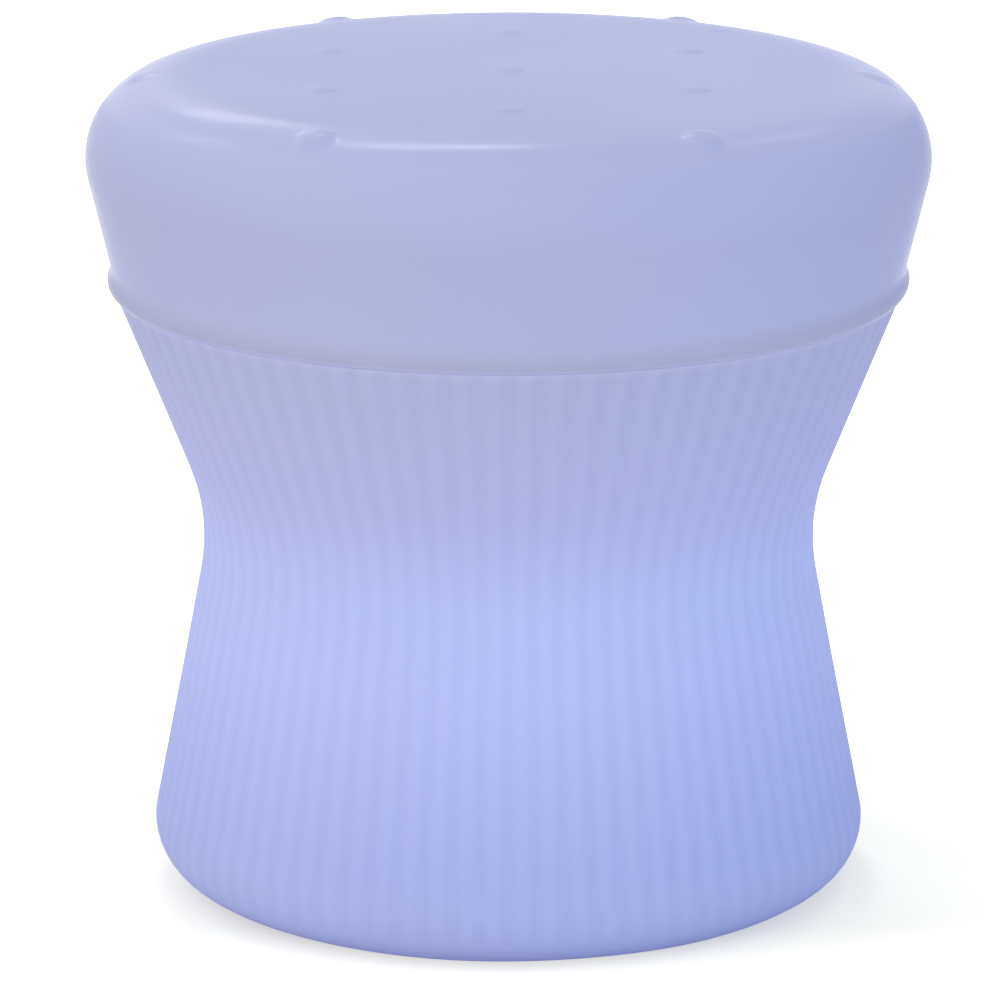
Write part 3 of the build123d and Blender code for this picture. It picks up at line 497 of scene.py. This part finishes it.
class Surface(Nodes):
    """The nodes of a new material."""

    def __init__(self, name):
        self.material = bpy.data.materials.new(name)
        super().__init__(self.material, "Object")
        self.shader = self.tree.nodes["Principled BSDF"]

    def set(self, **values):
        """Feeds the shader's inputs. An underscore stands for a space in an input's name."""
        for name, value in values.items():
            self.feed(self.shader.inputs[name.replace("_", " ")], value)

    def noise(self, size, detail=2.0, scale=None):
        """Noise whose features are about size metres across."""
        node = self.add("ShaderNodeTexNoise")
        self.feed(node.inputs["Vector"], self.scaled(scale) if scale else self.place)
        self.feed(node.inputs["Scale"], 1 / size)
        self.feed(node.inputs["Detail"], detail)
        return node.outputs["Fac"]

    def ramp(self, factor, stops):
        """A colour ramp over factor, from (position, colour) stops."""
        node = self.add("ShaderNodeValToRGB")
        elements = node.color_ramp.elements
        while len(elements) < len(stops):
            elements.new(0.5)
        for element, (position, colour) in zip(elements, stops):
            element.position = position
            element.color = (*colour, 1.0)
        self.feed(node.inputs["Fac"], factor)
        return node.outputs["Color"]

    def drift(self, size, dark, light, detail=2.0, margin=0.3):
        """A tone that drifts from dark to light in patches of about this size."""
        return self.ramp(self.noise(size, detail), [(margin, dark), (1 - margin, light)])

    def mixed(self, kind, first, second):
        """Two colours in a blend of this kind."""
        node = self.add("ShaderNodeMix", data_type="RGBA", blend_type=kind)
        self.feed(node.inputs["Factor"], 1.0)
        self.feed(node.inputs["A"], first)
        self.feed(node.inputs["B"], second)
        return node.outputs["Result"]

    def bump(self, height, distance):
        node = self.add("ShaderNodeBump")
        self.feed(node.inputs["Height"], height)
        self.feed(node.inputs["Distance"], distance)
        self.set(Normal=node.outputs["Normal"])

    def place_part(self, axis):
        """One coordinate of the place."""
        node = self.add("ShaderNodeSeparateXYZ")
        self.feed(node.inputs["Vector"], self.place)
        return node.outputs[axis]

    def height_share(self, low, high):
        """The height as a share of the way from low to high."""
        return self.spread(self.place_part("Z"), 0.0, 1.0, low, high)

    def groove_shade_mask(self):
        """1 along the reeds' crests and 0 in the grooves between: it places the painted shade in
        the grooves.
        """
        angle = self.math("ARCTAN2", self.place_part("X"), self.place_part("Y"))
        swing = self.math("COSINE", self.math("MULTIPLY", angle, RIB_COUNT))
        return self.spread(swing, 1.0, 0.0, -1.0, 1.0)


# Milky walls: tints and grain
WHITE = (1.0, 1.0, 1.0)
BLACK = (0.0, 0.0, 0.0)
CLOUD_SIZE = 160.0 * MM
CLOUD_STOPS = [(0.2, (0.470, 0.500, 0.728)), (0.8, (0.490, 0.516, 0.744))]
SKIN_GRAIN = 6.0 * MM
SKIN_DEPTH = 0.006 * MM

# Painted shade along the lip's bead, over its height and a fade at both sides
BEAD_FADE = 5.0 * MM
PAINTED_BEAD_SHADE = (0.885, 0.875, 0.825)
PAINTED_BEAD_SHADE_STOPS = [(0.10, WHITE), (0.38, PAINTED_BEAD_SHADE), (0.54, PAINTED_BEAD_SHADE), (0.90, WHITE)]

# Painted shade in the grooves between the reeds, and the heights of the body that are plain and
# get none
PAINTED_GROOVE_SHADE = (0.942, 0.942, 0.950)
PAINTED_GROOVE_STOPS = [(0.0, PAINTED_GROOVE_SHADE), (1.0, WHITE)]
PLAIN_STOPS = [(0.04, WHITE), (0.11, BLACK), (0.80, BLACK), (0.82, WHITE)]

# Painted glow, standing in for the lamp's light through the wall, by height as a share of the
# seat's: brightest beside the lamp. At the lid's seam, a narrow band of painted light lifts the
# shade in the crevice
seam = mouth_z / seat_z
PAINTED_SEAM_LIGHT = (0.175, 0.172, 0.243)
PAINTED_SEAM_SIDE_LIGHT = (0.108, 0.105, 0.173)
PAINTED_GLOW_STRENGTH = 1.0
PAINTED_GLOW_STOPS = [
    (0.00, (0.010, 0.014, 0.085)),
    (0.05, (0.072, 0.088, 0.222)),
    (0.12, (0.068, 0.090, 0.260)),
    (0.33, (0.136, 0.160, 0.354)),
    (0.43, (0.140, 0.168, 0.348)),
    (0.55, (0.130, 0.126, 0.252)),
    (0.70, (0.110, 0.108, 0.178)),
    # Painted light at the seam, which lifts the shade in the crevice under the bead
    (seam - 0.008, PAINTED_SEAM_SIDE_LIGHT),
    (seam - 0.001, PAINTED_SEAM_LIGHT),
    (seam + 0.002, PAINTED_SEAM_LIGHT),
    (seam + 0.008, PAINTED_SEAM_SIDE_LIGHT),
    (0.88, (0.094, 0.086, 0.145)),
    (0.97, (0.098, 0.100, 0.180)),
    (0.990, (0.076, 0.078, 0.160)),
    (0.9995, (0.068, 0.072, 0.146)),
]

# Gloss: matt walls, and a polished rim on the seat by height as a share of the seat's
MATT = 0.003
POLISHED = 0.040
GLOSS_STOPS = [(0.962, MATT), (0.974, POLISHED), (0.994, POLISHED), (0.9995, MATT)]
PLASTIC_IOR = 1.5
LID_ROUGHNESS = (0.19, 0.28)
BODY_ROUGHNESS = (0.46, 0.58)
SHEEN_SIZE = 80.0 * MM

# Other materials
ROUGHNESS_DRIFT = 0.06
TURNING_MARKS = (1, 1, 6)


def milky_shell(name, ribbed):
    """Milky polyethylene, with painted glow for the light from the lamp in the base, and painted
    shade on the bead and, on the ribbed body, in the grooves.
    """
    surface = Surface(name)
    tint = surface.ramp(surface.noise(CLOUD_SIZE, 1.0), CLOUD_STOPS)
    # Painted shade on the bead darkens the tint there
    bead_low, bead_high = mouth_z - BEAD_FADE, mouth_z + 2 * LIP_BEAD + BEAD_FADE
    bead = surface.ramp(surface.height_share(bead_low, bead_high), PAINTED_BEAD_SHADE_STOPS)
    tint = surface.mixed("MULTIPLY", tint, bead)
    if ribbed:
        # Painted shade in the grooves between the reeds, none where the body is plain
        reeds = surface.ramp(surface.groove_shade_mask(), PAINTED_GROOVE_STOPS)
        plain = surface.ramp(surface.height_share(base_z, rim_z), PLAIN_STOPS)
        tint = surface.mixed("MULTIPLY", tint, surface.mixed("LIGHTEN", reeds, plain))
    share = surface.height_share(0.0, seat_z)
    if ribbed:
        gloss = MATT
    else:
        gloss = surface.ramp(share, [(height, (level,) * 3) for height, level in GLOSS_STOPS])
    smooth, rough = BODY_ROUGHNESS if ribbed else LID_ROUGHNESS
    surface.set(
        Base_Color=tint,
        Emission_Color=surface.ramp(share, PAINTED_GLOW_STOPS),
        Emission_Strength=PAINTED_GLOW_STRENGTH,
        IOR=PLASTIC_IOR,
        Specular_IOR_Level=gloss,
        Roughness=surface.spread(surface.noise(SHEEN_SIZE, 1.0), smooth, rough, 0.0, 1.0),
    )
    surface.bump(surface.noise(SKIN_GRAIN, 0.0), SKIN_DEPTH)
    return surface.material


def moulded(name, dark, light, roughness, grain=1.2 * MM, depth=0.04 * MM, patch=30.0 * MM):
    """Moulded plastic or rubber with a fine grain and a slight drift of tone."""
    surface = Surface(name)
    smooth, rough = roughness - ROUGHNESS_DRIFT, roughness + ROUGHNESS_DRIFT
    surface.set(
        Base_Color=surface.drift(patch, dark, light, detail=3.0, margin=0.35),
        Roughness=surface.spread(surface.noise(patch / 3), smooth, rough),
    )
    surface.bump(surface.noise(grain), depth)
    return surface.material


def plated_steel():
    """Zinc-plated steel with turning marks."""
    surface = Surface("zinc_plated_steel")
    surface.set(
        Metallic=1.0,
        Base_Color=surface.drift(4.0 * MM, (0.60, 0.60, 0.62), (0.74, 0.74, 0.76)),
        Roughness=surface.spread(surface.noise(2.0 * MM), 0.25, 0.42),
    )
    surface.bump(surface.noise(0.6 * MM, scale=TURNING_MARKS), 0.03 * MM)
    return surface.material


def frosted_lens():
    """Frosted plastic over the lit LEDs."""
    surface = Surface("frosted_lens")
    surface.set(
        Base_Color=surface.drift(10.0 * MM, (0.74, 0.78, 0.95), (0.80, 0.83, 0.97)),
        Emission_Color=surface.drift(50.0 * MM, (0.26, 0.34, 0.80), (0.34, 0.42, 0.88)),
        Emission_Strength=0.7,
        Roughness=0.5,
    )
    surface.bump(surface.noise(0.8 * MM), 0.05 * MM)
    return surface.material


def lit_led():
    """LED chips under clear silicone, switched on."""
    surface = Surface("lit_led")
    tone = surface.drift(3.0 * MM, (0.60, 0.62, 0.85), (0.72, 0.74, 0.95))
    surface.set(Base_Color=tone, Emission_Color=tone, Emission_Strength=2.0, Roughness=0.25)
    return surface.material


# Moulded pieces: darkest and lightest tone, roughness, and the grain where it isn't the usual
MOULDED = {
    "white_abs": ((0.70, 0.71, 0.73), (0.76, 0.77, 0.79), 0.42),
    "grey_rubber": ((0.060, 0.060, 0.066), (0.085, 0.085, 0.092), 0.75, 0.8 * MM, 0.08 * MM),
    "white_foam": ((0.60, 0.60, 0.63), (0.70, 0.70, 0.73), 0.85, 1.5 * MM, 0.3 * MM),
    "button_silicone": ((0.16, 0.17, 0.20), (0.19, 0.20, 0.24), 0.55, 0.6 * MM, 0.03 * MM),
    "black_nylon": ((0.012, 0.012, 0.014), (0.022, 0.022, 0.024), 0.5),
    "white_solder_mask": (
        (0.72, 0.74, 0.73), (0.80, 0.81, 0.80), 0.35, 2.0 * MM, 0.03 * MM, 6.0 * MM,
    ),
    "cell_shrink_wrap": ((0.010, 0.075, 0.300), (0.015, 0.095, 0.360), 0.3, 4.0 * MM, 0.05 * MM),
    "red_wire_jacket": ((0.34, 0.012, 0.012), (0.42, 0.018, 0.016), 0.45),
    "black_wire_jacket": ((0.015, 0.015, 0.016), (0.025, 0.025, 0.026), 0.45),
    "grey_wire_jacket": ((0.30, 0.30, 0.32), (0.36, 0.36, 0.38), 0.45),
}
FEET = [f"foot_{number}" for number in range(1, 7)]
NODES_OF_MATERIAL = {
    "white_abs": ["lamp_tray", "bottom_cover", "seat_brace", "port_cover"],
    "frosted_lens": ["lamp_lens", "indicator_lens"],
    "grey_rubber": ["lamp_gasket", "lens_seal", "cover_seal", "port_plug", *FEET],
    "white_foam": ["seat_seal"],
    "button_silicone": ["power_button"],
    "zinc_plated_steel": [
        "brace_screws",
        "tray_screws",
        "lens_screws",
        "board_screws",
        "clamp_screws",
        "cover_screws",
        "button_board_screws",
        "port_pin",
        "battery_tabs",
    ],
    "white_solder_mask": ["led_board", "button_board"],
    "lit_led": ["led_chips"],
    "black_nylon": ["driver_parts", "button_switch", "charge_socket", "battery_clamp"],
    "cell_shrink_wrap": ["battery_cell_1", "battery_cell_2"],
    "red_wire_jacket": ["battery_lead"],
    "black_wire_jacket": ["socket_lead"],
    "grey_wire_jacket": ["button_lead"],
    "milky_lid": ["seat_lid"],
    "milky_body": ["body_shell"],
}

materials = {name: moulded(name, *values) for name, values in MOULDED.items()}
materials["milky_lid"] = milky_shell("milky_lid", ribbed=False)
materials["milky_body"] = milky_shell("milky_body", ribbed=True)
materials["zinc_plated_steel"] = plated_steel()
materials["frosted_lens"] = frosted_lens()
materials["lit_led"] = lit_led()
for material_name, node_names in NODES_OF_MATERIAL.items():
    for node_name in node_names:
        for material_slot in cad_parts[node_name].material_slots:
            material_slot.material = materials[material_name]

make_lid(materials["milky_lid"])
make_body(materials["milky_body"], materials["milky_lid"])


# Studio: a pale floor, soft light and a white surround that is brightest in front and to the left
FLOOR_SIZE = 12.0
FLOOR_COLOUR = (0.80, 0.80, 0.82, 1.0)
FLOOR_ROUGHNESS = 0.9
FLOOR_LIGHT = (1.0, 0.985, 0.760, 1.0)
SURROUND_LIGHT = 0.50
SURROUND_LEAN = 0.44
BRIGHT_SIDE = (-0.36, -0.90, -0.24)

# Painted light on the floor where it is seen: least near the foot, which deepens the shadow there,
# and rising outwards over a stretched distance
LIFT_STRETCH = (1.0, 4.0, 1.0)
LIFT_REACH = (0.40, 1.0)
LIFT_LEVELS = (0.50, 1.00)

# Lamps: name, both ends, width, aim, power and colour. Only the strips are mirrored in gloss
WARM_WHITE = (1.0, 0.95, 0.91)
COOL_WHITE = (0.28, 0.55, 1.0)
SEAT_AIM = (0.0, 0.0, seat_z)
BODY_AIM = (0.0, 0.0, 0.2)
PANELS = [
    ("left_panel", (-3.4, -0.8, 1.0), (-1.6, -3.2, 1.0), 2.0, BODY_AIM, 11.0, WARM_WHITE),
    ("right_panel", (1.6, -3.2, 1.0), (3.4, -0.8, 1.0), 2.0, BODY_AIM, 19.0, COOL_WHITE),
    ("back_panel", (-1.4, 3.0, 1.2), (1.4, 3.0, 1.2), 1.6, BODY_AIM, 18.0, WHITE),
    ("top_panel", (-1.6, 0.3, 2.6), (0.6, 0.3, 2.6), 1.6, SEAT_AIM, 6.2, WHITE),
]
STRIPS = [
    ("back_strip", (-0.55, 1.27, 2.26), (0.03, 1.62, 1.99), 0.14, SEAT_AIM, 8.0, WHITE),
    ("low_strip", (-0.70, 1.97, 1.47), (-0.26, 2.10, 1.27), 0.10, SEAT_AIM, 1.8, WHITE),
    ("left_strip", (-1.60, 1.27, 1.70), (-1.20, 1.14, 2.11), 0.22, SEAT_AIM, 2.6, WHITE),
    ("right_strip", (0.84, 1.24, 2.19), (1.15, 1.49, 1.86), 0.15, SEAT_AIM, 2.4, WHITE),
]


def make_world():
    """A surround that shows white and lights the object softly."""
    world = bpy.data.worlds.new("studio")
    nodes = Nodes(world, "Generated")
    bpy.context.scene.world = world
    lean = nodes.vector_math("DOT_PRODUCT", nodes.place, BRIGHT_SIDE)
    dim, bright = SURROUND_LIGHT - SURROUND_LEAN, SURROUND_LIGHT + SURROUND_LEAN
    light = nodes.spread(lean, dim, bright, -1.0, 1.0)
    background = nodes.tree.nodes["Background"]
    nodes.feed(background.inputs["Color"], (*WHITE, 1.0))
    nodes.feed(background.inputs["Strength"], nodes.spread(nodes.is_seen(), light, 1.0, 0.0, 1.0))


def make_floor():
    """A floor that shows white, but for the object's shadow, deepened near the foot by its weaker
    painted light.
    """
    mesh = bpy.data.meshes.new("studio_floor")
    half = FLOOR_SIZE / 2
    corners = [(-half, -half, 0), (half, -half, 0), (half, half, 0), (-half, half, 0)]
    mesh.from_pydata(corners, [], [(0, 1, 2, 3)])
    floor = bpy.data.objects.new("studio_floor", mesh)
    bpy.context.scene.collection.objects.link(floor)
    surface = Surface("pale_floor")
    distance = surface.vector_math("LENGTH", surface.scaled(LIFT_STRETCH))
    lift = surface.spread(distance, *LIFT_LEVELS, *LIFT_REACH)
    surface.set(
        Base_Color=FLOOR_COLOUR,
        Roughness=FLOOR_ROUGHNESS,
        Specular_IOR_Level=0.0,
        Emission_Color=FLOOR_LIGHT,
        Emission_Strength=surface.spread(surface.is_seen(), 0.0, lift, 0.0, 1.0),
    )
    mesh.materials.append(surface.material)


def lamp_frame(start, end, aim):
    """A place half way from start to end, its long side along them, that faces aim."""
    middle = (start + end) / 2
    back = (middle - aim).normalized()
    along = (end - start).normalized()
    across = back.cross(along).normalized()
    turn = Matrix((across.cross(back), across, back)).transposed()
    return Matrix.Translation(middle) @ turn.to_4x4()


def make_lamp(name, start, end, width, aim, power, colour, mirrored):
    """A soft strip or panel lamp that runs from start to end. A mirrored one shows in gloss."""
    data = bpy.data.lights.new(name, "AREA")
    data.shape = "RECTANGLE"
    data.size = (Vector(end) - Vector(start)).length
    data.size_y = width
    data.energy = power
    data.color = colour
    lamp = bpy.data.objects.new(name, data)
    lamp.matrix_world = lamp_frame(Vector(start), Vector(end), Vector(aim))
    lamp.visible_camera = False
    lamp.visible_glossy = mirrored
    bpy.context.scene.collection.objects.link(lamp)


def make_camera():
    """The photograph's camera."""
    data = bpy.data.cameras.new("photo_camera")
    data.lens = CAMERA_LENS
    data.sensor_width = CAMERA_SENSOR
    data.clip_end = CAMERA_REACH
    camera = bpy.data.objects.new("photo_camera", data)
    pitch = radians(CAMERA_PITCH)
    camera.location = (
        CAMERA_SIDE,
        -CAMERA_DISTANCE * cos(pitch),
        CAMERA_TARGET_Z + CAMERA_DISTANCE * sin(pitch),
    )
    camera.rotation_euler = (pi / 2 - pitch, 0.0, 0.0)
    bpy.context.scene.collection.objects.link(camera)
    bpy.context.scene.camera = camera


make_world()
make_floor()
for panel in PANELS:
    make_lamp(*panel, mirrored=False)
for strip in STRIPS:
    make_lamp(*strip, mirrored=True)
make_camera()
bpy.context.scene.view_settings.view_transform = "Standard"
